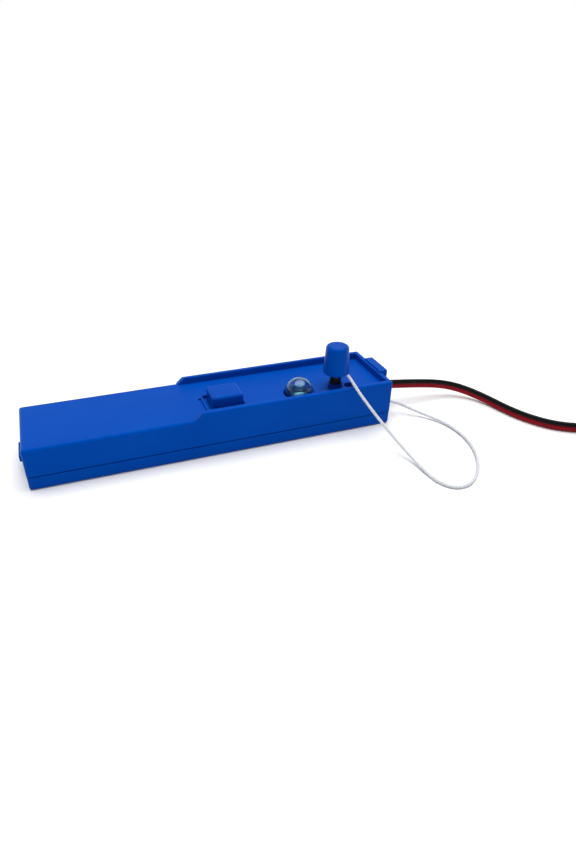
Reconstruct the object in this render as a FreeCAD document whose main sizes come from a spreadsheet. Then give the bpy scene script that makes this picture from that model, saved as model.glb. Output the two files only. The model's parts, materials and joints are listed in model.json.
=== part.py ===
"""Hand-held battery controller: a two-part moulded case with a push button, an indicator
lamp, a pull-out safety key on a tether and a twin lead.  Millimetres, +Z up.

X runs along the case: the battery grip is at -X, the lead leaves at +X.  Y runs across it
and the push button, lamp and key stand nearer the front, at -Y.  The origin is the centre
of the base.
"""
import FreeCAD, Part
import math
import os
import Sketcher

Vector = FreeCAD.Vector

SIZES = {
    # case
    "overall_length": 180.4, "case_width": 40.0, "deck_height": 20.5, "seam_height": 6.9,
    "seam_gap": 0.45, "rim_height": 3.3, "rim_wall": 2.6, "wall": 1.7, "deck_thickness": 1.5,
    "edge_round": 1.6, "corner_round": 1.2, "rim_round": 1.1, "small_round": 0.4,
    "ramp_start": -14.2, "ramp_length": 3.7,
    "lug_depth": 2.3, "lug_width": 12.0, "lug_height": 3.0,
    "hood_depth": 3.1, "hood_width": 16.5, "hood_top": 24.5, "hood_overlap": 1.4,
    "overlap": 0.2, "cover_inset": 0.1, "cover_wall": 2.95, "cover_floor": 1.5, "cover_round": 1.3,
    "lip_height": 1.2, "lip_wall": 1.2, "lip_gap": 0.15, "lip_margin": 4.0,
    # cover screws, in bosses that hang from the deck
    "boss_radius": 3.1, "boss_end": 3.2, "seat_step": 0.1, "boss_left": -27.0, "boss_right": 78.5,
    "boss_spread": 13.3, "screw_radius": 1.25, "screw_length": 9.0, "screw_gap": 0.05,
    "screw_head_radius": 2.4, "screw_head_height": 1.4, "screw_head_bottom": 0.3,
    "head_gap": 0.3, "shank_gap": 0.2, "driver_slot": 0.6,
    # contact board
    "board_left": -12.0, "board_right": 75.0, "board_width": 32.0, "board_bottom": 4.3,
    "board_thickness": 1.4, "board_boss_radius": 2.5, "board_screw_radius": 1.05,
    "board_screw_head_radius": 2.1, "board_screw_head": 1.3, "board_screw_length": 6.5,
    # push button and its switch
    "button_x": 4.1, "button_y": -4.35, "button_length": 15.0, "button_width": 13.2,
    "button_top": 25.6, "button_skirt": 17.3, "button_gap": 0.5, "button_relief": 1.5,
    "button_travel": 2.0, "button_corner": 1.3, "button_top_round": 1.2, "flange_rim": 1.7,
    "flange_height": 1.5, "post_radius": 1.8, "post_end": 10.5,
    "spring_bore": 3.3, "spring_bore_top": 22.0, "spring_outer": 2.9, "spring_wire": 0.5,
    "spring_gap": 0.05,
    "bridge_offset": 5.1, "bridge_length": 14.0, "bridge_width": 2.6, "strip": 0.5,
    "contact_spread": 5.0, "contact_radius": 0.9, "contact_bump": 0.4, "contact_gap": 0.1,
    "blade_width": 3.0, "blade_foot": 4.0, "seat_gap": 0.2, "seat_wall": 0.7, "seat_height": 2.0,
    "slot_x": -7.25, "slot_y": -6.45, "slot_width": 1.5, "slot_length": 13.7,
    "slot_depth": 0.8,
    # indicator lamp
    "lamp_x": 40.5, "lamp_y": -9.4, "lamp_centre": 21.0, "globe_radius": 7.1,
    "globe_wall": 0.5, "neck_radius": 4.1, "neck_bottom": 12.5, "lamp_hole": 7.8,
    "lamp_tube_wall": 1.1, "lamp_tube_bottom": 14.0,
    "cap_radius": 4.75, "cap_bottom": 7.6, "cap_top": 14.9, "cap_wall": 0.35,
    "tip_radius": 1.6, "tip_bottom": 6.2, "shell_radius": 5.4, "shell_wall": 0.4,
    "socket_radius": 6.6, "socket_top": 13.6, "post_spread": 1.5, "filament_height": 21.9,
    "insulator_height": 0.9, "insulator_rim": 0.6, "centre_contact": 4.0, "thread_gap": 0.05,
    "socket_step": 0.4, "lamp_wire": 0.2, "filament_wire": 0.16, "bead_drop": 2.2,
    "bead_margin": 0.9, "bead_height": 1.5,
    # safety key
    "key_x": 59.7, "key_y": -9.9, "collar_radius": 3.55, "bore_radius": 2.87,
    "collar_height": 2.6,
    "guide_bottom": 13.0, "sleeve_radius": 2.8, "sleeve_bottom": 12.5, "sleeve_top": 35.0,
    "pin_radius": 1.25, "pin_bottom": 7.8, "pin_taper": 1.2,
    "key_cap_bottom": 28.9, "key_cap_top": 43.1, "key_cap_foot": 6.5, "key_cap_head": 5.55,
    "key_cap_round": 1.5, "key_foot_round": 0.35, "key_cap_hollow": 5.3,
    "key_cap_hollow_depth": 2.2, "pin_depth": 6.0, "pin_nose": 0.45,
    "spare_x": 67.5, "spare_y": -10.1, "spare_radius": 2.7, "spare_wall": 1.1,
    "spare_depth": 5.0,
    "key_spring_wall": 0.4, "key_spring_width": 3.0, "key_spring_top": 12.4,
    "key_spring_gap": 0.08, "key_spring_foot": 3.0,
    # battery
    "battery_left": -84.5, "battery_length": 46.4, "battery_width": 26.2,
    "battery_height": 17.0, "battery_round": 1.2, "rib_gap": 0.25, "rib_wall": 1.2,
    "rib_height": 8.0, "rib_margin": 8.0, "end_rib_width": 16.0, "end_rib_height": 2.4,
    "terminal_spread": 12.7, "terminal_length": 2.1, "stud_radius": 2.9, "cup_radius": 4.1,
    "snap_gap": 0.1, "snap_thickness": 3.0, "snap_margin": 1.5, "snap_height": 11.0,
    "snap_round": 1.0,
    # leads
    "lead_height": 11.2, "core_radius": 1.22, "core_pitch": 2.5, "hole_radius": 3.3,
    "grommet_nose": 6.2, "grommet_flange": 1.2, "grommet_rim": 0.9, "grommet_gap": 0.05,
    "core_gap": 0.04, "lead_diameter": 5.0, "wire_radius": 0.7,
    "tether_radius": 0.75, "tether_hole": 0.95,
    "tether_exit_y": -11.0, "tether_exit_z": 9.2,
    "knot_radius": 1.9, "knot_length": 2.6, "knot_gap": 0.05,
    # coil, tie and plug at the far end of the lead
    "coil_x": 205.0, "coil_y": -105.0, "coil_outer": 41.2, "coil_inner": 18.2,
    "coil_bottom": 0.8, "coil_height": 10.2, "tie_width": 6.0, "tie_wall": 0.8,
    "tie_gap": 0.4, "tie_lift": 0.1, "plug_length": 26.0, "plug_width": 14.0,
    "plug_height": 8.0, "plug_round": 1.6, "prong_radius": 1.3, "prong_length": 13.0, "prong_pitch": 7.0,
}

GRIP_END = "(Sizes.lug_depth - Sizes.overall_length / 2)"
CABLE_END = "(Sizes.overall_length / 2 - Sizes.hood_depth)"
CASE_END = "(Sizes.overall_length / 2)"
CASE_LENGTH = "(Sizes.overall_length - Sizes.lug_depth - Sizes.hood_depth)"
CASE_X = "((Sizes.lug_depth - Sizes.hood_depth) / 2)"
INNER_TOP = "(Sizes.deck_height - Sizes.deck_thickness)"
BOSS_TOP = "(Sizes.deck_height - Sizes.deck_thickness + Sizes.overlap)"
RIM_TOP = "(Sizes.deck_height + Sizes.rim_height)"
BOARD_TOP = "(Sizes.board_bottom + Sizes.board_thickness)"
COVER_TOP = "(Sizes.seam_height - Sizes.seam_gap)"
PAD_FOOT = "(Sizes.cover_floor - Sizes.overlap)"
GLOBE_ROOM = "(Sizes.globe_radius - Sizes.globe_wall)"
BOARD_BOSSES = [(-8.5, 12.5), (25.0, -12.8), (70.0, 12.5)]

# The free lead, from the grommet's nose to the coil, and from the coil to the plug.
LEAD_ROUTE = [
    (96.4, 0.0, 11.2), (105.2, -1.2, 10.7), (116.0, -1.9, 9.4), (127.0, -2.4, 7.7),
    (136.4, -4.8, 5.7), (143.9, -11.2, 3.9), (149.0, -21.1, 2.8), (151.7, -31.7, 2.6),
    (156.1, -43.0, 2.55), (163.2, -53.1, 2.55), (173.0, -60.0, 2.6), (184.5, -64.4, 2.8),
    (196.0, -65.4, 3.3), (206.0, -65.8, 3.3),
]
TAIL_ROUTE = [
    (204.0, -144.2, 8.0), (197.0, -144.6, 6.6), (188.0, -145.6, 4.6), (179.0, -147.0, 4.0),
]
# The tether, from under the key cap's skirt over the front rim, round a loop on the surface
# that the case stands on, and back to the hole in the end wall.
TETHER_ROUTE = [
    (65.8, -14.5, 28.8), (65.4, -18.9, 28.4), (66.9, -25.4, 23.0), (70.4, -33.1, 15.5),
    (74.8, -40.9, 8.9), (78.2, -48.9, 4.1), (80.1, -57.8, 1.4), (80.6, -66.9, 0.8),
    (81.9, -75.3, 0.8), (86.8, -81.1, 0.8), (94.3, -80.9, 0.8), (100.9, -76.2, 0.8),
    (106.9, -69.7, 0.8), (111.6, -61.5, 0.8), (114.9, -52.4, 0.8), (115.8, -42.6, 0.8),
    (114.6, -32.9, 0.9), (110.3, -24.4, 1.3), (103.3, -16.7, 2.9), (95.7, -11.8, 6.6),
    (87.0, -11.0, 9.2),
]

doc = FreeCAD.newDocument("controller")
sheet = doc.addObject("Spreadsheet::Sheet", "Sizes")


def fill_sheet():
    """One row for each driving size: its name, its value and the alias that binds it."""
    for row, (alias, value) in enumerate(SIZES.items(), start=1):
        sheet.set(f"A{row}", alias)
        sheet.set(f"B{row}", str(value))
        sheet.setAlias(f"B{row}", alias)
    doc.recompute()


def size(alias):
    """A driving size as a number, for the shapes that Part's own functions make."""
    return float(sheet.get(alias))


def bind(obj, place=None, **lengths):
    """Binds an object's sizes, and its place as (x, y, z), to expressions."""
    for name, text in lengths.items():
        obj.setExpression(name, text)
    if place is not None:
        for axis, text in zip("xyz", place):
            obj.setExpression(f"Placement.Base.{axis}", text)
    return obj


# ---- Part primitives and booleans ------------------------------------------------------


def box(name, low, dims):
    """A box with its lowest corner at low."""
    obj = doc.addObject("Part::Box", name)
    return bind(obj, low, Length=dims[0], Width=dims[1], Height=dims[2])


def cylinder(name, radius, height, base, axis=None):
    """A cylinder standing on base, along +Z or along the axis given."""
    obj = doc.addObject("Part::Cylinder", name)
    if axis is not None:
        obj.Placement.Rotation = FreeCAD.Rotation(Vector(0, 0, 1), Vector(*axis))
    return bind(obj, base, Radius=radius, Height=height)


def cone(name, low_radius, high_radius, height, base, axis=None):
    obj = doc.addObject("Part::Cone", name)
    if axis is not None:
        obj.Placement.Rotation = FreeCAD.Rotation(Vector(0, 0, 1), Vector(*axis))
    return bind(obj, base, Radius1=low_radius, Radius2=high_radius, Height=height)


def sphere(name, radius, centre):
    return bind(doc.addObject("Part::Sphere", name), centre, Radius=radius)


def fuse(name, *shapes):
    obj = doc.addObject("Part::MultiFuse", name)
    obj.Shapes = list(shapes)
    return obj


def cut(name, base, *tools):
    obj = doc.addObject("Part::Cut", name)
    obj.Base = base
    obj.Tool = tools[0] if len(tools) == 1 else fuse(f"{name}_tools", *tools)
    return obj


def group(name, *shapes):
    """Identical or paired pieces that share one node, as separate solids."""
    obj = doc.addObject("Part::Compound", name)
    obj.Links = list(shapes)
    return obj


def ring(name, outer, inner, height, base):
    """A plain tube that stands on base."""
    solid = cylinder(f"{name}_outside", outer, height, base)
    hole = cylinder(f"{name}_inside", inner, height, base)
    return cut(name, solid, hole)


def softened(name, base, radius, test):
    """base with the edges that test picks rounded to radius."""
    doc.recompute()
    obj = doc.addObject("Part::Fillet", name)
    obj.Base = base
    picked = [i for i, edge in enumerate(base.Shape.Edges, start=1) if test(edge.BoundBox)]
    obj.Edges = [(i, radius, radius) for i in picked]
    return obj


# ---- PartDesign bodies -----------------------------------------------------------------


def new_sketch(body, name, role, centre):
    """A sketch on one of the body's own origin planes, moved by (x, y, z) of that plane."""
    sketch = body.newObject("Sketcher::SketchObject", name)
    plane = next(f for f in body.Origin.OriginFeatures if f.Role == role)
    sketch.AttachmentSupport = [(plane, "")]
    sketch.MapMode = "FlatFace"
    for axis, text in zip("xyz", centre):
        sketch.setExpression(f"AttachmentOffset.Base.{axis}", text)
    return sketch


def draw_rectangle(sketch, width, height):
    """A rectangle centred on the sketch's origin, with its two sizes bound."""
    first = sketch.GeometryCount
    corners = [Vector(-5, -5), Vector(5, -5), Vector(5, 5), Vector(-5, 5)]
    for i in range(4):
        sketch.addGeometry(Part.LineSegment(corners[i], corners[(i + 1) % 4]), False)
    for i in range(4):
        next_line = first + (i + 1) % 4
        sketch.addConstraint(Sketcher.Constraint("Coincident", first + i, 2, next_line, 1))
        direction = "Horizontal" if i % 2 == 0 else "Vertical"
        sketch.addConstraint(Sketcher.Constraint(direction, first + i))
    sketch.addConstraint(Sketcher.Constraint("Symmetric", first, 1, first + 2, 1, -1, 1))
    for line, text in ((first, width), (first + 1, height)):
        index = sketch.addConstraint(Sketcher.Constraint("Distance", line, 10.0))
        sketch.setExpression(f"Constraints[{index}]", text)


def rectangle(body, name, role, centre, width, height):
    sketch = new_sketch(body, name, role, centre)
    draw_rectangle(sketch, width, height)
    return sketch


def circle(body, name, role, centre, radius):
    sketch = new_sketch(body, name, role, centre)
    sketch.addGeometry(Part.Circle(Vector(0, 0, 0), Vector(0, 0, 1), 3.0), False)
    sketch.addConstraint(Sketcher.Constraint("Coincident", 0, 3, -1, 1))
    index = sketch.addConstraint(Sketcher.Constraint("Radius", 0, 3.0))
    sketch.setExpression(f"Constraints[{index}]", radius)
    return sketch


def outline(body, name, role, centre, points):
    """A closed outline of straight lines. points are pairs of expressions, none negative,
    measured from the sketch's origin."""
    sketch = new_sketch(body, name, role, centre)
    count = len(points)
    for i in range(count):
        angle = 2 * math.pi * i / count
        step = 2 * math.pi * (i + 1) / count
        start = Vector(20 + 9 * math.cos(angle), 20 + 9 * math.sin(angle))
        end = Vector(20 + 9 * math.cos(step), 20 + 9 * math.sin(step))
        sketch.addGeometry(Part.LineSegment(start, end), False)
    for i in range(count):
        sketch.addConstraint(Sketcher.Constraint("Coincident", i, 2, (i + 1) % count, 1))
    for i, (across, up) in enumerate(points):
        for kind, text in (("DistanceX", across), ("DistanceY", up)):
            index = sketch.addConstraint(Sketcher.Constraint(kind, -1, 1, i, 1, 20.0))
            sketch.setExpression(f"Constraints[{index}]", text)
    return sketch


def feature(body, kind, sketch, length, flipped=False):
    """A Pad or a Pocket of a sketch."""
    obj = body.newObject(f"PartDesign::{kind}", f"{sketch.Name}_{kind.lower()}")
    obj.Profile = sketch
    obj.setExpression("Length", length)
    obj.Reversed = flipped
    return obj


def fillet(body, name, radius, test):
    """Rounds the edges of the body's tip that test picks by their bounding box."""
    doc.recompute()
    base = body.Tip
    picked = [f"Edge{i}" for i, e in enumerate(base.Shape.Edges, start=1) if test(e.BoundBox)]
    obj = body.newObject("PartDesign::Fillet", name)
    obj.Base = (base, picked)
    obj.setExpression("Radius", radius)
    return obj


def upright(b):
    return b.XLength < 0.01 and b.YLength < 0.01


def along_x(b):
    return b.YLength < 0.01 and b.ZLength < 0.01


def near(value, target, tolerance=0.02):
    return abs(value - target) < tolerance


# ---- the case --------------------------------------------------------------------------


def make_upper_case():
    """The deck over the battery, the tray with its rim, and the walls down to the seam."""
    body = doc.addObject("PartDesign::Body", "upper_case")
    deck = size("deck_height")
    start = size("ramp_start")

    blank = rectangle(body, "shell_outline", "XY_Plane", (CASE_X, "0", "Sizes.seam_height"),
                      CASE_LENGTH, "Sizes.case_width")
    feature(body, "Pad", blank, "Sizes.deck_height - Sizes.seam_height")
    rim = rectangle(body, "rim_outline", "XY_Plane",
                    (f"(Sizes.ramp_start + {CABLE_END}) / 2", "0", "Sizes.deck_height"),
                    f"{CABLE_END} - Sizes.ramp_start", "Sizes.case_width")
    feature(body, "Pad", rim, "Sizes.rim_height")

    half = size("case_width") / 2
    fillet(body, "corner_fillet", "Sizes.corner_round",
           lambda b: upright(b) and near(abs(b.YMin), half) and not near(b.XMin, start))
    fillet(body, "deck_fillet", "Sizes.edge_round",
           lambda b: near(b.ZMin, deck) and near(b.ZMax, deck) and b.XMin < start - 1)

    ramp = outline(body, "ramp_outline", "XZ_Plane", ("Sizes.ramp_start", "Sizes.deck_height", "0"),
                   [("0", "0"), ("Sizes.ramp_length", "Sizes.rim_height"),
                    ("Sizes.ramp_length", "Sizes.rim_height + 1"), ("0", "Sizes.rim_height + 1")])
    wedge = feature(body, "Pocket", ramp, "Sizes.case_width + 2")
    wedge.Midplane = True

    top = deck + size("rim_height")
    fillet(body, "rim_fillet", "Sizes.rim_round",
           lambda b: near(b.ZMin, top) and near(b.ZMax, top) and (
               near(abs(b.YMin), half, 1.3) and near(abs(b.YMax), half, 1.3)
               or b.XMin > 80))

    tray = rectangle(body, "tray_outline", "XY_Plane",
                     (f"(Sizes.ramp_start - 1 + {CABLE_END} - Sizes.rim_wall) / 2", "0", RIM_TOP),
                     f"{CABLE_END} - Sizes.rim_wall - Sizes.ramp_start + 1",
                     "Sizes.case_width - 2 * Sizes.rim_wall")
    feature(body, "Pocket", tray, "Sizes.rim_height")
    inner = half - size("rim_wall")
    end = size("overall_length") / 2 - size("hood_depth") - size("rim_wall")
    fillet(body, "rim_inner_fillet", "Sizes.small_round",
           lambda b: near(b.ZMin, top) and near(b.ZMax, top) and (
               near(abs(b.YMin), inner) and near(abs(b.YMax), inner) or near(b.XMin, end)))
    hollow = rectangle(body, "hollow_outline", "XY_Plane", (CASE_X, "0", "Sizes.seam_height"),
                       f"{CASE_LENGTH} - 2 * Sizes.wall", "Sizes.case_width - 2 * Sizes.wall")
    feature(body, "Pocket", hollow, f"{INNER_TOP} - Sizes.seam_height", flipped=True)

    add_end_features(body)
    add_bosses(body)
    add_collar(body)
    cut_openings(body)
    return body


def add_end_features(body):
    """The lug on the grip end and the cable hood on the other end."""
    hood = rectangle(body, "hood_outline", "YZ_Plane",
                     ("0", "(Sizes.seam_height + Sizes.hood_top) / 2",
                      f"{CABLE_END} - Sizes.hood_overlap"),
                     "Sizes.hood_width", "Sizes.hood_top - Sizes.seam_height")
    feature(body, "Pad", hood, "Sizes.hood_depth + Sizes.hood_overlap")
    face = size("overall_length") / 2
    fillet(body, "hood_fillet", "Sizes.small_round",
           lambda b: near(b.XMin, face) and near(b.XMax, face))
    lug = rectangle(body, "lug_outline", "YZ_Plane",
                    ("0", "Sizes.seam_height + Sizes.lug_height / 2", GRIP_END),
                    "Sizes.lug_width", "Sizes.lug_height")
    feature(body, "Pad", lug, "Sizes.lug_depth", flipped=True)
    fillet(body, "lug_fillet", "Sizes.small_round",
           lambda b: near(b.XMin, -face) and near(b.XMax, -face))


def add_bosses(body):
    """Bosses hang from the deck: four take the cover screws, three the board screws."""
    for i, x in enumerate(("Sizes.boss_left", "Sizes.boss_right")):
        for j, side in enumerate(("-", "")):
            boss = circle(body, f"cover_boss_{i}{j}", "XY_Plane",
                          (x, f"{side}Sizes.boss_spread", BOSS_TOP), "Sizes.boss_radius")
            feature(body, "Pad", boss, f"{BOSS_TOP} - Sizes.boss_end", flipped=True)
            pilot = circle(body, f"cover_pilot_{i}{j}", "XY_Plane",
                           (x, f"{side}Sizes.boss_spread", "Sizes.boss_end"),
                           "Sizes.screw_radius + Sizes.screw_gap")
            feature(body, "Pocket", pilot, "Sizes.screw_length + 1", flipped=True)
    for i, (x, y) in enumerate(BOARD_BOSSES):
        boss = circle(body, f"board_boss_{i}", "XY_Plane", (str(x), str(y), BOSS_TOP),
                      "Sizes.board_boss_radius")
        feature(body, "Pad", boss, f"{BOSS_TOP} - {BOARD_TOP}", flipped=True)
        pilot = circle(body, f"board_pilot_{i}", "XY_Plane", (str(x), str(y), BOARD_TOP),
                       "Sizes.board_screw_radius + Sizes.screw_gap")
        feature(body, "Pocket", pilot, "Sizes.board_screw_length", flipped=True)


def add_collar(body):
    """The collar that the key stands in, its guide tube under the tray floor, the tube round
    the lamp, and the closed cup under the spare hole."""
    place = ("Sizes.key_x", "Sizes.key_y")
    collar = circle(body, "collar_outline", "XY_Plane",
                    (*place, "Sizes.deck_height - Sizes.overlap"), "Sizes.collar_radius")
    feature(body, "Pad", collar, "Sizes.collar_height + Sizes.overlap")
    guide = circle(body, "guide_outline", "XY_Plane", (*place, BOSS_TOP), "Sizes.collar_radius")
    feature(body, "Pad", guide, f"{BOSS_TOP} - Sizes.guide_bottom", flipped=True)
    bore = circle(body, "bore_outline", "XY_Plane", (*place, RIM_TOP), "Sizes.bore_radius")
    feature(body, "Pocket", bore, f"{RIM_TOP} - Sizes.guide_bottom")
    tube = circle(body, "lamp_tube", "XY_Plane", ("Sizes.lamp_x", "Sizes.lamp_y", BOSS_TOP),
                  "Sizes.lamp_hole + Sizes.lamp_tube_wall")
    feature(body, "Pad", tube, f"{BOSS_TOP} - Sizes.lamp_tube_bottom", flipped=True)
    cup = circle(body, "spare_cup", "XY_Plane", ("Sizes.spare_x", "Sizes.spare_y", BOSS_TOP),
                 "Sizes.spare_radius + Sizes.spare_wall")
    feature(body, "Pad", cup, "Sizes.spare_depth - Sizes.deck_thickness + Sizes.spare_wall",
            flipped=True)


def cut_openings(body):
    """The openings in the tray floor and in the end wall."""
    floor = "Sizes.deck_height"
    depth = "Sizes.deck_thickness"
    button = rectangle(body, "button_opening", "XY_Plane",
                       ("Sizes.button_x - Sizes.button_relief / 2", "Sizes.button_y", floor),
                       "Sizes.button_length + 2 * Sizes.button_gap + Sizes.button_relief",
                       "Sizes.button_width + 2 * Sizes.button_gap")
    feature(body, "Pocket", button, depth)
    slot = rectangle(body, "slot_opening", "XY_Plane", ("Sizes.slot_x", "Sizes.slot_y", floor),
                     "Sizes.slot_width", "Sizes.slot_length")
    feature(body, "Pocket", slot, "Sizes.slot_depth")
    lamp = circle(body, "lamp_opening", "XY_Plane", ("Sizes.lamp_x", "Sizes.lamp_y", floor),
                  "Sizes.lamp_hole")
    feature(body, "Pocket", lamp, f"{floor} - Sizes.lamp_tube_bottom")
    spare = circle(body, "spare_opening", "XY_Plane", ("Sizes.spare_x", "Sizes.spare_y", floor),
                   "Sizes.spare_radius")
    feature(body, "Pocket", spare, "Sizes.spare_depth")
    lead = circle(body, "lead_opening", "YZ_Plane",
                  ("0", "Sizes.lead_height", "Sizes.overall_length / 2"), "Sizes.hole_radius")
    feature(body, "Pocket", lead, "Sizes.hood_depth + Sizes.wall")
    tether = circle(body, "tether_opening", "YZ_Plane",
                    ("Sizes.tether_exit_y", "Sizes.tether_exit_z", CABLE_END),
                    "Sizes.tether_hole")
    feature(body, "Pocket", tether, "Sizes.wall")


def make_lower_cover():
    """The bottom cover, whose lip stands inside the upper case."""
    body = doc.addObject("PartDesign::Body", "lower_cover")
    blank = rectangle(body, "cover_outline", "XY_Plane", (CASE_X, "0", "0"),
                      f"{CASE_LENGTH} - 2 * Sizes.cover_inset",
                      "Sizes.case_width - 2 * Sizes.cover_inset")
    feature(body, "Pad", blank, COVER_TOP)
    fillet(body, "cover_corner_fillet", "Sizes.corner_round", upright)
    fillet(body, "cover_foot_fillet", "Sizes.cover_round",
           lambda b: near(b.ZMin, 0) and near(b.ZMax, 0))
    hollow = rectangle(body, "cover_hollow", "XY_Plane", (CASE_X, "0", COVER_TOP),
                       f"{CASE_LENGTH} - 2 * Sizes.cover_inset - 2 * Sizes.cover_wall",
                       "Sizes.case_width - 2 * Sizes.cover_inset - 2 * Sizes.cover_wall")
    feature(body, "Pocket", hollow, f"{COVER_TOP} - Sizes.cover_floor")

    inset = "Sizes.wall + Sizes.lip_gap + Sizes.lip_wall / 2"
    rib = "Sizes.battery_width / 2 + Sizes.rib_gap + Sizes.rib_wall / 2"
    for i, side in enumerate("-+"):
        lip = rectangle(body, f"lip_{i}", "XY_Plane",
                        (CASE_X, f"0 {side} (Sizes.case_width / 2 - ({inset}))",
                         f"{COVER_TOP} - Sizes.overlap"),
                        f"{CASE_LENGTH} - 2 * Sizes.wall - Sizes.lip_margin", "Sizes.lip_wall")
        feature(body, "Pad", lip, "Sizes.overlap + Sizes.seam_gap + Sizes.lip_height")
        side_rib = rectangle(body, f"battery_rib_{i}", "XY_Plane",
                             ("Sizes.battery_left + Sizes.battery_length / 2",
                              f"0 {side} ({rib})", PAD_FOOT),
                             "Sizes.battery_length - Sizes.rib_margin", "Sizes.rib_wall")
        feature(body, "Pad", side_rib, "Sizes.rib_height")
    end_rib = rectangle(body, "battery_end_rib", "XY_Plane",
                        ("Sizes.battery_left + Sizes.battery_length + Sizes.rib_gap"
                         " + Sizes.rib_wall / 2", "0", PAD_FOOT),
                        "Sizes.rib_wall", "Sizes.end_rib_width")
    feature(body, "Pad", end_rib, "Sizes.end_rib_height")

    for i, x in enumerate(("Sizes.boss_left", "Sizes.boss_right")):
        for j, side in enumerate(("-", "")):
            y = f"{side}Sizes.boss_spread"
            pad = circle(body, f"seat_{i}{j}", "XY_Plane", (x, y, PAD_FOOT), "Sizes.boss_radius")
            feature(body, "Pad", pad, f"Sizes.boss_end - Sizes.seat_step - {PAD_FOOT}")
            recess = circle(body, f"recess_{i}{j}", "XY_Plane", (x, y, "0"),
                            "Sizes.screw_head_radius + Sizes.head_gap")
            feature(body, "Pocket", recess,
                    "Sizes.screw_head_bottom + Sizes.screw_head_height", flipped=True)
            hole = circle(body, f"clearance_{i}{j}", "XY_Plane", (x, y, "0"),
                          "Sizes.screw_radius + Sizes.shank_gap")
            feature(body, "Pocket", hole, "Sizes.boss_end + 1", flipped=True)
    return body


def make_screws(name, places, radius, length, head_radius, head_height, head_bottom):
    """Pan-head screws that point up, all in one node."""
    made = []
    for i, (x, y) in enumerate(places):
        head = cylinder(f"{name}_head_{i}", head_radius, head_height, (x, y, head_bottom))
        shank = cylinder(f"{name}_shank_{i}", radius, length, (x, y, head_bottom))
        slot = box(f"{name}_slot_{i}",
                   (f"{x} - {head_radius}", f"{y} - Sizes.driver_slot / 2", head_bottom),
                   (f"2 * {head_radius}", "Sizes.driver_slot", "Sizes.driver_slot"))
        made.append(cut(f"{name}_{i}", fuse(f"{name}_blank_{i}", head, shank), slot))
    return group(name, *made)


def make_case_screws():
    places = [(x, f"{side}Sizes.boss_spread") for x in ("Sizes.boss_left", "Sizes.boss_right")
              for side in ("-", "")]
    cover = make_screws("cover_screws", places, "Sizes.screw_radius", "Sizes.screw_length",
                        "Sizes.screw_head_radius", "Sizes.screw_head_height",
                        "Sizes.screw_head_bottom")
    places = [(str(x), str(y)) for x, y in BOARD_BOSSES]
    head_bottom = "(Sizes.board_bottom - Sizes.board_screw_head)"
    board = make_screws("board_screws", places, "Sizes.board_screw_radius",
                        "Sizes.board_screw_length", "Sizes.board_screw_head_radius",
                        "Sizes.board_screw_head", head_bottom)
    return [cover, board]


# ---- board and switch ------------------------------------------------------------------


def make_board():
    plate = box("board_plate",
                ("Sizes.board_left", "-Sizes.board_width / 2", "Sizes.board_bottom"),
                ("Sizes.board_right - Sizes.board_left", "Sizes.board_width",
                 "Sizes.board_thickness"))
    holes = [cylinder(f"board_hole_{i}", "Sizes.board_screw_radius + Sizes.shank_gap",
                      "Sizes.board_thickness", (str(x), str(y), "Sizes.board_bottom"))
             for i, (x, y) in enumerate(BOARD_BOSSES)]
    return cut("contact_board", plate, *holes)


def make_push_button():
    """The key top, its retaining flange and the post that guides the spring."""
    body = doc.addObject("PartDesign::Body", "push_button")
    place = ("Sizes.button_x", "Sizes.button_y")
    block = rectangle(body, "button_outline", "XY_Plane", (*place, "Sizes.button_skirt"),
                      "Sizes.button_length", "Sizes.button_width")
    feature(body, "Pad", block, "Sizes.button_top - Sizes.button_skirt")
    top = size("button_top")
    fillet(body, "button_corner_fillet", "Sizes.button_corner", upright)
    fillet(body, "button_top_fillet", "Sizes.button_top_round",
           lambda b: near(b.ZMin, top) and near(b.ZMax, top))
    flange = rectangle(body, "flange_outline", "XY_Plane",
                       ("Sizes.button_x - Sizes.button_relief / 2", "Sizes.button_y",
                        "Sizes.button_skirt"),
                       "Sizes.button_length + Sizes.button_relief + 2 * Sizes.flange_rim",
                       "Sizes.button_width + 2 * Sizes.flange_rim")
    feature(body, "Pad", flange, "Sizes.flange_height")
    well = circle(body, "spring_well", "XY_Plane", (*place, "Sizes.button_skirt"),
                  "Sizes.spring_bore")
    feature(body, "Pocket", well, "Sizes.spring_bore_top - Sizes.button_skirt", flipped=True)
    post = circle(body, "post_outline", "XY_Plane", (*place, "Sizes.post_end"),
                  "Sizes.post_radius")
    feature(body, "Pad", post, "Sizes.spring_bore_top - Sizes.post_end + Sizes.overlap")
    return body


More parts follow.
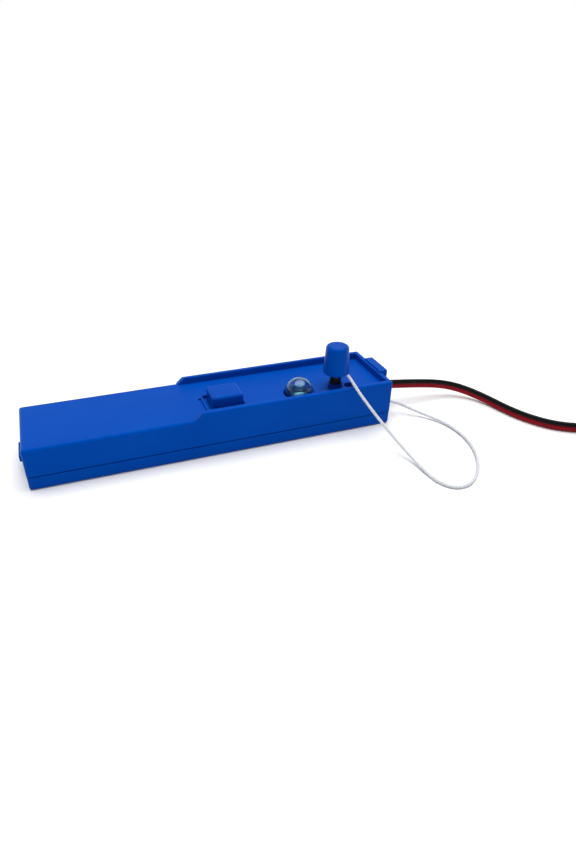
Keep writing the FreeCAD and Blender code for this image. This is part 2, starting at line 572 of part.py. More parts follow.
def make_switch():
    """The bridge that the button carries, the two fixed contacts and the return spring."""
    bx, by = "Sizes.button_x", "(Sizes.button_y + Sizes.bridge_offset)"
    bridge_low = "(Sizes.button_skirt - Sizes.strip)"
    plate = box("bridge_plate",
                (f"{bx} - Sizes.bridge_length / 2", f"{by} - Sizes.bridge_width / 2", bridge_low),
                ("Sizes.bridge_length", "Sizes.bridge_width", "Sizes.strip"))
    bumps = [cylinder(f"bridge_bump_{i}", "Sizes.contact_radius", "Sizes.contact_bump + Sizes.overlap",
                      (f"{bx} {side} Sizes.contact_spread", by,
                       f"{bridge_low} - Sizes.contact_bump"))
             for i, side in enumerate("-+")]
    bridge = fuse("contact_bridge", plate, *bumps)

    top = f"({bridge_low} - Sizes.contact_bump - Sizes.button_travel - Sizes.contact_gap)"
    fixed = []
    for i, side in enumerate("-+"):
        x = f"({bx} {side} Sizes.contact_spread)"
        low_x = f"{x} - Sizes.blade_width / 2"
        back = f"{by} + Sizes.blade_width / 2"
        front = f"{by} - Sizes.bridge_width / 2"
        blade = box(f"blade_{i}", (low_x, back, BOARD_TOP),
                    ("Sizes.blade_width", "Sizes.strip", f"{top} - {BOARD_TOP}"))
        head = box(f"head_{i}", (low_x, front, f"{top} - Sizes.strip"),
                   ("Sizes.blade_width", f"{back} - ({front}) + Sizes.overlap", "Sizes.strip"))
        foot = box(f"foot_{i}", (low_x, back, BOARD_TOP),
                   ("Sizes.blade_width", "Sizes.blade_foot", "Sizes.strip"))
        fixed.append(fuse(f"fixed_contact_{i}", blade, head, foot))
    fixed_contacts = group("fixed_contacts", *fixed)

    spring = ring("button_spring", "Sizes.spring_outer", "Sizes.spring_outer - Sizes.spring_wire",
                  f"Sizes.spring_bore_top - 2 * Sizes.spring_gap - {BOARD_TOP}",
                  (bx, "Sizes.button_y", f"{BOARD_TOP} + Sizes.spring_gap"))
    seat = ring("spring_seat", "Sizes.spring_outer + Sizes.seat_gap + Sizes.seat_wall",
                "Sizes.spring_outer + Sizes.seat_gap", "Sizes.seat_height",
                (bx, "Sizes.button_y", BOARD_TOP))
    return [bridge, fixed_contacts, spring, seat]


# ---- lamp ------------------------------------------------------------------------------


def make_lamp():
    """A screw-base lamp in its socket: globe, cap, insulator, tip, bead, wires, filament."""
    x, y = "Sizes.lamp_x", "Sizes.lamp_y"
    centre = (x, y, "Sizes.lamp_centre")
    neck_height = "Sizes.lamp_centre - Sizes.neck_bottom"
    glass = fuse("globe_outside", sphere("globe_ball", "Sizes.globe_radius", centre),
                 cylinder("globe_neck", "Sizes.neck_radius", neck_height,
                          (x, y, "Sizes.neck_bottom")))
    inside = fuse("globe_inside",
                  sphere("globe_void", GLOBE_ROOM, centre),
                  cylinder("neck_void", "Sizes.neck_radius - Sizes.globe_wall", neck_height,
                           (x, y, "Sizes.neck_bottom")))
    globe = cut("lamp_globe", glass, inside)

    cap = ring("lamp_cap", "Sizes.cap_radius", "Sizes.cap_radius - Sizes.cap_wall",
               "Sizes.cap_top - Sizes.cap_bottom", (x, y, "Sizes.cap_bottom"))
    insulator_low = "(Sizes.cap_bottom - Sizes.insulator_height)"
    insulator = cone("lamp_insulator", "Sizes.tip_radius + Sizes.insulator_rim",
                     "Sizes.cap_radius - Sizes.cap_wall", "Sizes.insulator_height",
                     (x, y, insulator_low))
    tip = cylinder("lamp_tip", "Sizes.tip_radius", f"{insulator_low} - Sizes.tip_bottom",
                   (x, y, "Sizes.tip_bottom"))
    contact_half = "Sizes.centre_contact / 2"
    centre_contact = box("lamp_centre_contact",
                         (f"{x} - {contact_half}", f"{y} - {contact_half}", BOARD_TOP),
                         ("Sizes.centre_contact", "Sizes.centre_contact",
                          f"Sizes.tip_bottom - {BOARD_TOP}"))
    shell = ring("lamp_shell", "Sizes.shell_radius", "Sizes.shell_radius - Sizes.shell_wall",
                 "Sizes.socket_top - Sizes.socket_step - Sizes.cap_bottom",
                 (x, y, "Sizes.cap_bottom"))
    socket = ring("lamp_socket", "Sizes.socket_radius", "Sizes.shell_radius + Sizes.thread_gap",
                  f"Sizes.socket_top - {BOARD_TOP}", (x, y, BOARD_TOP))

    bead_low = "(Sizes.lamp_centre - Sizes.bead_drop)"
    posts = []
    for i, side in enumerate("-+"):
        px = f"({x} {side} Sizes.post_spread)"
        posts.append(cylinder(f"lamp_post_{i}", "Sizes.lamp_wire",
                              "Sizes.filament_height - Sizes.cap_bottom + Sizes.lamp_wire",
                              (px, y, "Sizes.cap_bottom")))
    bead_round = 0.5
    bead_blank = box("bead_blank", (f"{x} - Sizes.post_spread - Sizes.bead_margin",
                                    f"{y} - Sizes.bead_margin", bead_low),
                     ("2 * (Sizes.post_spread + Sizes.bead_margin)", "2 * Sizes.bead_margin",
                      "Sizes.bead_height"))
    bead = softened("bead_soft", bead_blank, bead_round, lambda b: True)
    holes = [cylinder(f"bead_hole_{i}", "Sizes.lamp_wire + 0.02", "Sizes.bead_height",
                      (f"{x} {side} Sizes.post_spread", y, bead_low))
             for i, side in enumerate("-+")]
    bead = cut("lamp_bead", bead, *holes)
    filament = cylinder("lamp_filament", "Sizes.filament_wire",
                        "2 * (Sizes.post_spread - Sizes.lamp_wire)",
                        (f"{x} - Sizes.post_spread + Sizes.lamp_wire", y,
                         "Sizes.filament_height"), axis=(1, 0, 0))
    return [globe, cap, insulator, tip, centre_contact, shell, socket,
            group("lamp_posts", *posts), bead, filament]


# ---- safety key ------------------------------------------------------------------------


def make_key():
    """The key: a conical cap, an insulating sleeve and the pin that closes the contacts."""
    x, y = "Sizes.key_x", "Sizes.key_y"
    body = doc.addObject("PartDesign::Body", "key_cap")
    profile = outline(body, "cap_profile", "XZ_Plane", (x, "Sizes.key_cap_bottom", "-Sizes.key_y"),
                      [("0", "0"), ("Sizes.key_cap_foot", "0"),
                       ("Sizes.key_cap_head", "Sizes.key_cap_top - Sizes.key_cap_bottom"),
                       ("0", "Sizes.key_cap_top - Sizes.key_cap_bottom")])
    turned = body.newObject("PartDesign::Revolution", "cap_turned")
    turned.Profile = profile
    turned.ReferenceAxis = (profile, ["V_Axis"])
    turned.Angle = 360
    top = size("key_cap_top")
    fillet(body, "cap_top_fillet", "Sizes.key_cap_round",
           lambda b: near(b.ZMin, top) and near(b.ZMax, top))
    bottom = size("key_cap_bottom")
    fillet(body, "cap_foot_fillet", "Sizes.key_foot_round",
           lambda b: near(b.ZMin, bottom) and near(b.ZMax, bottom))
    hollow = circle(body, "cap_hollow", "XY_Plane", (x, y, "Sizes.key_cap_bottom"),
                    "Sizes.key_cap_hollow")
    feature(body, "Pocket", hollow, "Sizes.key_cap_hollow_depth", flipped=True)
    bore = circle(body, "sleeve_bore", "XY_Plane", (x, y, "Sizes.key_cap_bottom"),
                  "Sizes.sleeve_radius")
    feature(body, "Pocket", bore, "Sizes.sleeve_top - Sizes.key_cap_bottom", flipped=True)

    sleeve_blank = cylinder("sleeve_blank", "Sizes.sleeve_radius",
                            "Sizes.sleeve_top - Sizes.sleeve_bottom",
                            (x, y, "Sizes.sleeve_bottom"))
    sleeve = cut("key_sleeve", sleeve_blank,
                 cylinder("sleeve_core", "Sizes.pin_radius", "Sizes.pin_depth",
                          (x, y, "Sizes.sleeve_bottom")))
    shank = cylinder("pin_shank", "Sizes.pin_radius",
                     "Sizes.sleeve_bottom + Sizes.pin_depth - Sizes.pin_bottom"
                     " - Sizes.pin_taper",
                     (x, y, "Sizes.pin_bottom + Sizes.pin_taper"))
    nose = cone("pin_nose", "Sizes.pin_nose", "Sizes.pin_radius", "Sizes.pin_taper",
                (x, y, "Sizes.pin_bottom"))
    pin = fuse("key_pin", shank, nose)

    springs = []
    gap = "(Sizes.pin_radius + Sizes.key_spring_gap)"
    low_y = f"{y} - Sizes.key_spring_width / 2"
    for i, (blade_x, foot_x) in enumerate(((f"{x} - {gap} - Sizes.key_spring_wall",
                                            f"{x} - {gap} - Sizes.key_spring_foot"),
                                           (f"{x} + {gap}", f"{x} + {gap}"))):
        blade = box(f"key_blade_{i}", (blade_x, low_y, BOARD_TOP),
                    ("Sizes.key_spring_wall", "Sizes.key_spring_width",
                     f"Sizes.key_spring_top - {BOARD_TOP}"))
        foot = box(f"key_foot_{i}", (foot_x, low_y, BOARD_TOP),
                   ("Sizes.key_spring_foot", "Sizes.key_spring_width",
                    "Sizes.key_spring_wall"))
        springs.append(fuse(f"key_spring_{i}", blade, foot))
    return [body, sleeve, pin, group("key_springs", *springs)]


# ---- battery ---------------------------------------------------------------------------


def make_battery():
    """A block battery lying in the grip, its two terminals and the snap connector."""
    low_z = "Sizes.cover_floor"
    middle_z = f"({low_z} + Sizes.battery_height / 2)"
    front_x = "(Sizes.battery_left + Sizes.battery_length)"
    blank = box("battery_blank", ("Sizes.battery_left", "-Sizes.battery_width / 2", low_z),
                ("Sizes.battery_length", "Sizes.battery_width", "Sizes.battery_height"))
    battery = softened("battery", blank, size("battery_round"), along_x)
    stud = cylinder("stud_round", "Sizes.stud_radius", "Sizes.terminal_length",
                    (front_x, "-Sizes.terminal_spread / 2", middle_z), axis=(1, 0, 0))
    cup = doc.addObject("Part::Prism", "stud_hexagon")
    cup.Polygon = 6
    cup.Placement.Rotation = FreeCAD.Rotation(Vector(0, 0, 1), Vector(1, 0, 0))
    bind(cup, (front_x, "Sizes.terminal_spread / 2", middle_z), Circumradius="Sizes.cup_radius",
         Height="Sizes.terminal_length")
    terminals = group("battery_terminals", stud, cup)

    snap_x = f"({front_x} + Sizes.terminal_length + Sizes.snap_gap)"
    plate = box("snap_blank", (snap_x, "Sizes.snap_margin - Sizes.battery_width / 2",
                               f"{middle_z} - Sizes.snap_height / 2"),
                ("Sizes.snap_thickness", "Sizes.battery_width - 2 * Sizes.snap_margin",
                 "Sizes.snap_height"))
    snap = softened("battery_snap", plate, size("snap_round"), along_x)
    return [battery, terminals, snap]


# ---- leads, tether and what is on them -------------------------------------------------


def route_wire(points):
    """Straight runs joined by tangent arcs, as large as the shorter of two runs allows."""
    share = 0.45
    pts = [Vector(*p) for p in points]
    edges, radii, last = [], [], pts[0]
    for before, corner, after in zip(pts, pts[1:], pts[2:]):
        into = (corner - before).normalize()
        away = (after - corner).normalize()
        half_turn = into.getAngle(away) / 2
        trim = share * min((corner - before).Length, (after - corner).Length)
        radius = trim / math.tan(half_turn)
        start, end = corner - into * trim, corner + away * trim
        to_centre = (away - into).normalize()
        centre = corner + to_centre * (radius / math.cos(half_turn))
        middle = centre - to_centre * radius
        edges.append(Part.LineSegment(last, start).toShape())
        edges.append(Part.Arc(start, middle, end).toShape())
        radii.append(radius)
        last = end
    edges.append(Part.LineSegment(last, pts[-1]).toShape())
    return Part.Wire(edges), radii


def cord_tube(name, points, radius):
    """A round tube along a route. Prints its length and arcs, and checks its volume."""
    wire, radii = route_wire(points)
    start = Vector(*points[0])
    section = Part.Wire([Part.Circle(start, Vector(*points[1]) - start, radius).toShape()])
    shape = wire.makePipeShell([section], True, False)
    expected = math.pi * radius ** 2 * wire.Length
    if abs(shape.Volume / expected - 1) > 0.01:
        raise RuntimeError(f"{name}: its volume is {shape.Volume:.1f}, not {expected:.1f}")
    obj = doc.addObject("Part::Feature", name)
    obj.Shape = shape
    print(f"{name}: length {wire.Length:.1f}, radii "
          + " ".join(f"{r:.1f}" for r in radii))
    return obj


def make_inner_leads():
    """Short wires in the case: battery snap to board, and board to the grommet's neck."""
    height, pitch = size("lead_height"), size("core_pitch") / 2
    neck_end = size("overall_length") / 2 - 0.3
    board = size("board_bottom") + size("board_thickness") + 0.02
    snap = (size("battery_left") + size("battery_length") + size("terminal_length")
            + size("snap_gap") + size("snap_thickness"))
    made = []
    for colour, side in (("black", 1), ("red", -1)):
        end_z = height + side * pitch
        made.append(cord_tube(f"lead_core_{colour}",
                              [(66.0, 3 * side + 3, board), (66.2, 3 * side + 3, board + 3.4),
                               (71.0, 1.5 * side + 1.5, end_z - 0.8), (78.0, 0.1, end_z),
                               (neck_end, 0.0, end_z)], size("core_radius")))
        made.append(cord_tube(f"battery_wire_{colour}",
                              [(snap, 3 * side, 11.5), (snap + 7, 3 * side, 11.2),
                               (snap + 16, 4.5 * side, 9.6), (-10.6, 5.5 * side, 8.6),
                               (-10.2, 5.7 * side, board)], size("wire_radius")))
    return made


def make_grommet():
    """The strain relief: a flange inside the wall, a neck in the hole, a tapered nose."""
    z = "Sizes.lead_height"
    along = (1, 0, 0)
    start = (f"{CABLE_END} - Sizes.wall - Sizes.grommet_gap - Sizes.grommet_flange", "0", z)
    end = (CASE_END, "0", z)
    neck_radius = "Sizes.hole_radius - Sizes.grommet_gap"
    inner_length = (f"{CASE_END} - {CABLE_END} + Sizes.wall + Sizes.grommet_gap"
                    " + Sizes.grommet_flange")
    flange = cylinder("grommet_flange", "Sizes.hole_radius + Sizes.grommet_rim",
                      "Sizes.grommet_flange", start, along)
    neck = cylinder("grommet_neck", neck_radius, inner_length, start, along)
    nose = cone("grommet_nose_cone", neck_radius, "Sizes.lead_diameter / 2 + Sizes.overlap",
                "Sizes.grommet_nose", end, along)
    blank = fuse("grommet_blank", flange, neck, nose)
    bores = [cylinder(f"grommet_bore_{i}", "Sizes.core_radius + Sizes.core_gap",
                      f"{inner_length} + Sizes.grommet_nose",
                      (start[0], "0", f"{z} {side} Sizes.core_pitch / 2"), along)
             for i, side in enumerate("-+")]
    return cut("cable_grommet", blank, *bores)


def make_coil():
    """The put-away length of the lead, a tie round it, and the two-pin plug."""
    centre = ("Sizes.coil_x", "Sizes.coil_y")
    coil = ring("lead_coil", "Sizes.coil_outer", "Sizes.coil_inner", "Sizes.coil_height",
                (*centre, "Sizes.coil_bottom"))
    wall = "Sizes.tie_wall"
    inner_x = "Sizes.coil_x + Sizes.coil_inner"
    depth = "Sizes.coil_outer - Sizes.coil_inner"
    low_y = "Sizes.coil_y - Sizes.tie_width / 2"
    outside = box("tie_outside",
                  (f"{inner_x} - Sizes.tie_gap - {wall}", low_y, f"Sizes.coil_bottom - {wall}"),
                  (f"{depth} + 2 * Sizes.tie_gap + 2 * {wall}", "Sizes.tie_width",
                   f"Sizes.coil_height + Sizes.tie_lift + 2 * {wall}"))
    inside = box("tie_inside", (f"{inner_x} - Sizes.tie_gap", low_y, "Sizes.coil_bottom"),
                 (f"{depth} + 2 * Sizes.tie_gap", "Sizes.tie_width",
                  "Sizes.coil_height + Sizes.tie_lift"))
    tie = cut("coil_tie", outside, inside)

    end_x, end_y, end_z = TAIL_ROUTE[-1]
    blank = box("plug_blank",
                (f"{end_x} - Sizes.plug_length", f"{end_y} - Sizes.plug_width / 2",
                 f"{end_z} - Sizes.plug_height / 2"),
                ("Sizes.plug_length", "Sizes.plug_width", "Sizes.plug_height"))
    plug = softened("plug_body", blank, size("plug_round"), along_x)
    prongs = []
    for i, side in enumerate("-+"):
        prongs.append(cylinder(f"prong_{i}", "Sizes.prong_radius", "Sizes.prong_length",
                               (f"{end_x} - Sizes.plug_length - Sizes.prong_length",
                                f"{end_y} {side} Sizes.prong_pitch / 2", str(end_z)),
                               axis=(1, 0, 0)))
    return [coil, tie, plug, group("plug_pins", *prongs)]


def make_cords():
    """The free cords as plain tubes, and the tether's stop knots."""
    lead = size("lead_diameter") / 2
    tether = size("tether_radius")
    made = [cord_tube("twin_lead", LEAD_ROUTE, lead),
            cord_tube("lead_tail", TAIL_ROUTE, lead),
            cord_tube("tether_string", TETHER_ROUTE, tether)]
    inside = f"({CABLE_END} - Sizes.wall)"
    place = ("Sizes.tether_exit_y", "Sizes.tether_exit_z")
    along = (1, 0, 0)
    knot = cylinder("stop_knot", "Sizes.knot_radius", "Sizes.knot_length",
                    (f"{inside} - Sizes.knot_gap - Sizes.knot_length", *place), along)
    core = cylinder("stop_core", "Sizes.tether_radius", "Sizes.wall + Sizes.knot_gap",
                    (f"{inside} - Sizes.knot_gap", *place), along)
    return [*made, fuse("tether_stop", knot, core)]


# ---- build, check and write ------------------------------------------------------------


def check_document():
    """Every object must have recomputed cleanly."""
    for obj in doc.Objects:
        bad = [s for s in obj.State if s in ("Invalid", "Error")]
        if bad:
            raise RuntimeError(f"{obj.Name}: {bad}")


def write_steps(nodes):
    os.makedirs("parts", exist_ok=True)
    for obj in nodes:
        label = obj.Label
        shape = obj.Shape
        if shape.isNull() or not shape.isValid():
            raise RuntimeError(f"{label}: its shape is null or not valid")
        b = shape.BoundBox
        print(f"{label:22s} solids {len(shape.Solids)} volume {shape.Volume:9.1f} "
              f"x {b.XMin:7.1f} {b.XMax:7.1f} y {b.YMin:7.1f} {b.YMax:7.1f} "
              f"z {b.ZMin:6.2f} {b.ZMax:6.2f}")
        shape.exportStep(f"parts/{label}.step")


def main():
    fill_sheet()
    made = [make_upper_case(), make_lower_cover(), *make_case_screws(), make_board(),
            make_push_button(), *make_switch(), *make_lamp(), *make_key(), *make_battery(),
            *make_inner_leads(), make_grommet(), *make_coil(), *make_cords()]
    doc.recompute()
    check_document()
    write_steps(made)


main()
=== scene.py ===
import json
import math

import bmesh
import bpy
from mathutils import Matrix, Vector


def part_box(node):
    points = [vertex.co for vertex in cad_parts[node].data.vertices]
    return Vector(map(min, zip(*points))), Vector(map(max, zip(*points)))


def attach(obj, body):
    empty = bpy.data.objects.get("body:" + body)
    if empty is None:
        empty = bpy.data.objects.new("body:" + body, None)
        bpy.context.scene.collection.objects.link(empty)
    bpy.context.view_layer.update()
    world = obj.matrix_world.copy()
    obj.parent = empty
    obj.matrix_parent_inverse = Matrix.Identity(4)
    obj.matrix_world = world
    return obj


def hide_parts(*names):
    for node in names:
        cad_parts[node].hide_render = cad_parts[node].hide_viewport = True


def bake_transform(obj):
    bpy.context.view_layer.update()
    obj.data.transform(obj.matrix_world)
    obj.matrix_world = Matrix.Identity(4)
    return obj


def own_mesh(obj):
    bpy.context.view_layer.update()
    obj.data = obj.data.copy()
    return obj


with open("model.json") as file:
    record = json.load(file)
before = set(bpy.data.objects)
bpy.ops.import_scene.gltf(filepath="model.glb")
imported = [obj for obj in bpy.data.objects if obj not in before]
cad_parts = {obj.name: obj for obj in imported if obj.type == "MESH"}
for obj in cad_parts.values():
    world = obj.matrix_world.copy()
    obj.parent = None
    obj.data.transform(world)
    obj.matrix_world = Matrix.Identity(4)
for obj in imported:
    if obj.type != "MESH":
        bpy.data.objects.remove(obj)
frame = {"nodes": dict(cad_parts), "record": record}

MM = 0.001
UP = Vector((0, 0, 1))
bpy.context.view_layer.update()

# The route points of part.py, in millimetres, where a few at the cords' ends are moved: the
# free lead from the grommet's nose to the coil, the coil's end to the plug, and the
# tether from the key's cap to the end wall.
LEAD_ROUTE = [
    (96.4, 0.0, 11.2), (105.2, -1.2, 10.7), (116.0, -1.9, 9.4), (127.0, -2.4, 7.7),
    (136.4, -4.8, 5.7), (143.9, -11.2, 3.9), (149.0, -21.1, 2.8), (151.7, -31.7, 2.6),
    (156.1, -43.0, 2.55), (163.2, -53.1, 2.55), (173.0, -60.0, 2.6), (184.5, -64.2, 2.9),
]
TAIL_ROUTE = [
    (197.0, -144.9, 7.2), (188.0, -145.8, 4.9), (179.0, -147.0, 4.0),
]
TETHER_ROUTE = [
    (62.5, -12.0, 29.9), (64.5, -14.6, 27.9), (64.4, -19.0, 26.9), (66.2, -25.4, 22.5),
    (70.4, -33.1, 15.5), (74.8, -40.9, 8.9), (78.2, -48.9, 4.1), (80.1, -57.8, 1.4),
    (80.6, -66.9, 0.8), (81.9, -75.3, 0.8), (86.8, -81.1, 0.8), (94.3, -80.9, 0.8),
    (100.9, -76.2, 0.8), (106.9, -69.7, 0.8), (111.6, -61.5, 0.8), (114.9, -52.4, 0.8),
    (115.8, -42.6, 0.8), (114.6, -32.9, 0.9), (110.3, -24.4, 1.3), (103.3, -16.7, 2.9),
    (95.7, -11.8, 6.6), (87.0, -11.0, 9.2),
]
COIL_TURNS = 7.25          # in each of the coil's two layers
COIL_PITCH = 2.7           # from one turn to the next, in millimetres as the rest
COIL_RADIUS = 39.5         # of the outermost turn
COIL_LAYERS = (3.3, 8.4)   # the heights of the two layers' middles

CAMERA_PLACE = (-64.08, -253.02, 160.92)
CAMERA_HEADING = -22.16    # degrees, as the two below
CAMERA_DIP = 31.66
CAMERA_ROLL = 1.5


# ---- small helpers -----------------------------------------------------------------------


def node_box(name):
    """A CAD node's lowest and highest corners, as vectors in metres."""
    low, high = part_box(name)
    return Vector(low), Vector(high)


def node_centre(name):
    """The middle of a CAD node's box, as a vector in metres."""
    low, high = node_box(name)
    return (low + high) / 2


def new_object(name, mesh):
    """A smooth-shaded object of this mesh, in the scene."""
    obj = bpy.data.objects.new(name, mesh)
    bpy.context.scene.collection.objects.link(obj)
    for polygon in mesh.polygons:
        polygon.use_smooth = True
    return obj


def mesh_object(name, bm):
    """The same from a bmesh, which is freed."""
    mesh = bpy.data.meshes.new(name)
    bm.to_mesh(mesh)
    bm.free()
    return new_object(name, mesh)


def crease_by_angle(obj, degrees=38):
    """Smooth shading that stays sharp where the surface turns by more than this."""
    bpy.context.view_layer.objects.active = obj
    obj.select_set(True)
    bpy.ops.object.shade_smooth_by_angle(angle=math.radians(degrees))
    obj.select_set(False)
    return obj


def smooth_line(name, points):
    """The points along a smooth NURBS curve that has these control points."""
    curve = bpy.data.curves.new(f"{name}_route", "CURVE")
    curve.dimensions = "3D"
    curve.resolution_u = 8
    spline = curve.splines.new("NURBS")
    spline.points.add(len(points) - 1)
    for control, point in zip(spline.points, points):
        control.co = (*(MM * x for x in point), 1)
    spline.order_u = 3
    spline.use_endpoint_u = True
    holder = bpy.data.objects.new(f"{name}_route", curve)
    bpy.context.scene.collection.objects.link(holder)
    graph = bpy.context.evaluated_depsgraph_get()
    mesh = bpy.data.meshes.new_from_object(holder.evaluated_get(graph))
    line = [v.co.copy() for v in mesh.vertices]
    bpy.data.objects.remove(holder)
    bpy.data.meshes.remove(mesh)
    return [p for i, p in enumerate(line) if i == 0 or (p - line[i - 1]).length > 1e-6]


def resampled(line, step):
    """The same line with points at equal distances of about step."""
    lengths = [0.0]
    for a, b in zip(line, line[1:]):
        lengths.append(lengths[-1] + (b - a).length)
    count = max(2, round(lengths[-1] / step))
    out, j = [], 0
    for i in range(count + 1):
        target = lengths[-1] * i / count
        while j < len(line) - 2 and lengths[j + 1] < target:
            j += 1
        share = (target - lengths[j]) / (lengths[j + 1] - lengths[j])
        out.append(line[j].lerp(line[j + 1], min(share, 1.0)))
    return out


def sweep(name, line, outline, slots=None, upward=UP):
    """A tube along line. outline(s) gives its section at arc length s as (side, up) pairs in
    metres, up being nearest to upward. slots, if given, is the material index of each face
    round the section."""
    bm = bmesh.new()
    uv = bm.loops.layers.uv.new("UVMap")
    rings, distance = [], 0.0
    for i, point in enumerate(line):
        ahead = line[min(i + 1, len(line) - 1)] - line[max(i - 1, 0)]
        tangent = ahead.normalized()
        side = tangent.cross(upward).normalized()
        up = side.cross(tangent)
        if i:
            distance += (point - line[i - 1]).length
        ring = [bm.verts.new(point + side * a + up * b) for a, b in outline(distance)]
        rings.append((distance, ring))
    count = len(rings[0][1])
    for (s0, first), (s1, second) in zip(rings, rings[1:]):
        for k in range(count):
            n = (k + 1) % count
            face = bm.faces.new((first[k], first[n], second[n], second[k]))
            if slots:
                face.material_index = slots[k]
            corners = ((s0, k), (s0, k + 1), (s1, k + 1), (s1, k))
            for loop, (s, turn) in zip(face.loops, corners):
                loop[uv].uv = (s / MM, turn / count)
    bm.faces.new(rings[0][1][::-1])
    bm.faces.new(rings[-1][1])
    bmesh.ops.recalc_face_normals(bm, faces=bm.faces)
    return mesh_object(name, bm)


def round_section(radius, count=12):
    """A round outline for sweep, the same all along."""
    steps = [2 * math.pi * k / count for k in range(count)]
    ring = [(radius * math.cos(t), radius * math.sin(t)) for t in steps]
    return lambda s: ring


def lathe(name, profile, centre, axis=(0, 0, 1), count=48, ripple=None):
    """Turns a profile of (radius, height) pairs, in millimetres, round an axis. A profile that
    doesn't end where it starts is capped. ripple, if given, adds to the radius: a function of
    the angle and the height."""
    bm = bmesh.new()
    rings = []
    for radius, height in profile:
        ring = []
        for k in range(count):
            turn = 2 * math.pi * k / count
            r = radius + (ripple(turn, height) if ripple and radius > 0.2 else 0.0)
            ring.append(bm.verts.new((MM * r * math.cos(turn), MM * r * math.sin(turn),
                                      MM * height)))
        rings.append(ring)
    for first, second in zip(rings, rings[1:]):
        for k in range(count):
            n = (k + 1) % count
            bm.faces.new((first[k], first[n], second[n], second[k]))
    if profile[0] != profile[-1]:
        bm.faces.new(rings[0][::-1])
        bm.faces.new(rings[-1])
    bmesh.ops.remove_doubles(bm, verts=bm.verts, dist=1e-7)
    bmesh.ops.recalc_face_normals(bm, faces=bm.faces)
    turn = UP.rotation_difference(Vector(axis)).to_matrix().to_4x4()
    bm.transform(Matrix.Translation(centre) @ turn)
    return crease_by_angle(mesh_object(name, bm))


# ---- materials ---------------------------------------------------------------------------

WHITE = (1, 1, 1, 1)
BLUE_SHEEN = (0.02, 0.42, 1.0, 1)
GLASS_SHEEN = (0.62, 0.88, 1.0, 1)


class Nodes:
    """Builds one procedural material on a Principled shader. sockets are the shader's own
    constants, with _ for each space in a name."""

    def __init__(self, name, **sockets):
        self.material = bpy.data.materials.new(name)
        self.material.use_nodes = True
        self.tree = self.material.node_tree
        self.shader = self.tree.nodes["Principled BSDF"]
        for key, value in sockets.items():
            self.shader.inputs[key.replace("_", " ")].default_value = value
        self.place = self.tree.nodes.new("ShaderNodeTexCoord")

    def node(self, kind, **values):
        made = self.tree.nodes.new(f"ShaderNode{kind}")
        for key, value in values.items():
            if key in made.inputs.keys():
                made.inputs[key].default_value = value
            else:
                setattr(made, key, value)
        return made

    def link(self, source, target):
        self.tree.links.new(source, target)

    def noise(self, scale, detail, stretch=(1, 1, 1), space="Object"):
        mapping = self.node("Mapping", Scale=stretch)
        self.link(self.place.outputs[space], mapping.inputs["Vector"])
        made = self.node("TexNoise", Scale=scale, Detail=detail)
        self.link(mapping.outputs["Vector"], made.inputs["Vector"])
        return made.outputs["Fac"]

    def vary_colour(self, factor, low, high, start=0.3, end=0.7):
        """A base colour that runs from low to high as factor runs from start to end."""
        made = self.node("ValToRGB")
        made.color_ramp.elements[0].position = start
        made.color_ramp.elements[1].position = end
        made.color_ramp.elements[0].color = low
        made.color_ramp.elements[1].color = high
        self.link(factor, made.inputs["Fac"])
        self.link(made.outputs["Color"], self.shader.inputs["Base Color"])

    def vary_roughness(self, factor, low, high):
        made = self.node("MapRange", **{"To Min": low, "To Max": high})
        self.link(factor, made.inputs["Value"])
        self.link(made.outputs["Result"], self.shader.inputs["Roughness"])

    def bump(self, factor, height):
        """Bumps of this height, in metres. A second call adds to the first."""
        made = self.node("Bump", Strength=1.0, Distance=height)
        self.link(factor, made.inputs["Height"])
        normal = self.shader.inputs["Normal"]
        if normal.links:
            self.link(normal.links[0].from_socket, made.inputs["Normal"])
        self.link(made.outputs["Normal"], normal)


def rgb(r, g, b):
    """An sRGB colour, 0 to 255, as the linear colour that a shader takes."""
    def linear(x):
        x = x / 255
        return x / 12.92 if x <= 0.04045 else ((x + 0.055) / 1.055) ** 2.4
    return (linear(r), linear(g), linear(b), 1.0)


def moulded_plastic(name, low, high, roughness=(0.30, 0.42), level=0.32, tint=WHITE):
    """Coloured moulded plastic: a faint flow marbling, a fine satin grain, a slow waviness as
    of a thin wall that has sunk a little, and hairline rubs from handling."""
    m = Nodes(name, Specular_IOR_Level=level, Specular_Tint=tint)
    m.vary_colour(m.noise(38, 3, (1, 2.4, 1)), low, high)
    m.vary_roughness(m.noise(420, 5), *roughness)
    m.bump(m.noise(5200, 2), 0.000010)
    m.bump(m.noise(700, 2, (0.12, 3.0, 1)), 0.000008)
    m.bump(m.noise(55, 1), 0.00006)
    return m.material


def metal(name, low, high, roughness=(0.18, 0.34)):
    """Bare metal, a little uneven in colour and polish."""
    m = Nodes(name, Metallic=1.0)
    m.vary_colour(m.noise(160, 5), low, high)
    m.vary_roughness(m.noise(900, 4), *roughness)
    m.bump(m.noise(2600, 3), 0.000006)
    return m.material


def insulation(name, low, high):
    """Smooth flexible insulation with a soft sheen and faint drawing marks along it."""
    m = Nodes(name, Specular_IOR_Level=0.10)
    m.vary_colour(m.noise(120, 4), low, high)
    m.vary_roughness(m.noise(600, 3), 0.38, 0.52)
    m.bump(m.noise(3.0, 2, (0.15, 9, 1), "UV"), 0.00002)
    return m.material


def string_fibre(name):
    """Twisted white string with fine fibres that run with the twist."""
    m = Nodes(name, Specular_IOR_Level=0.2, Roughness=0.75)
    m.vary_colour(m.noise(900, 3), rgb(186, 189, 196), rgb(210, 212, 217))
    m.bump(m.noise(2.2, 3, (2.5, 16, 1), "UV"), 0.00006)
    return m.material


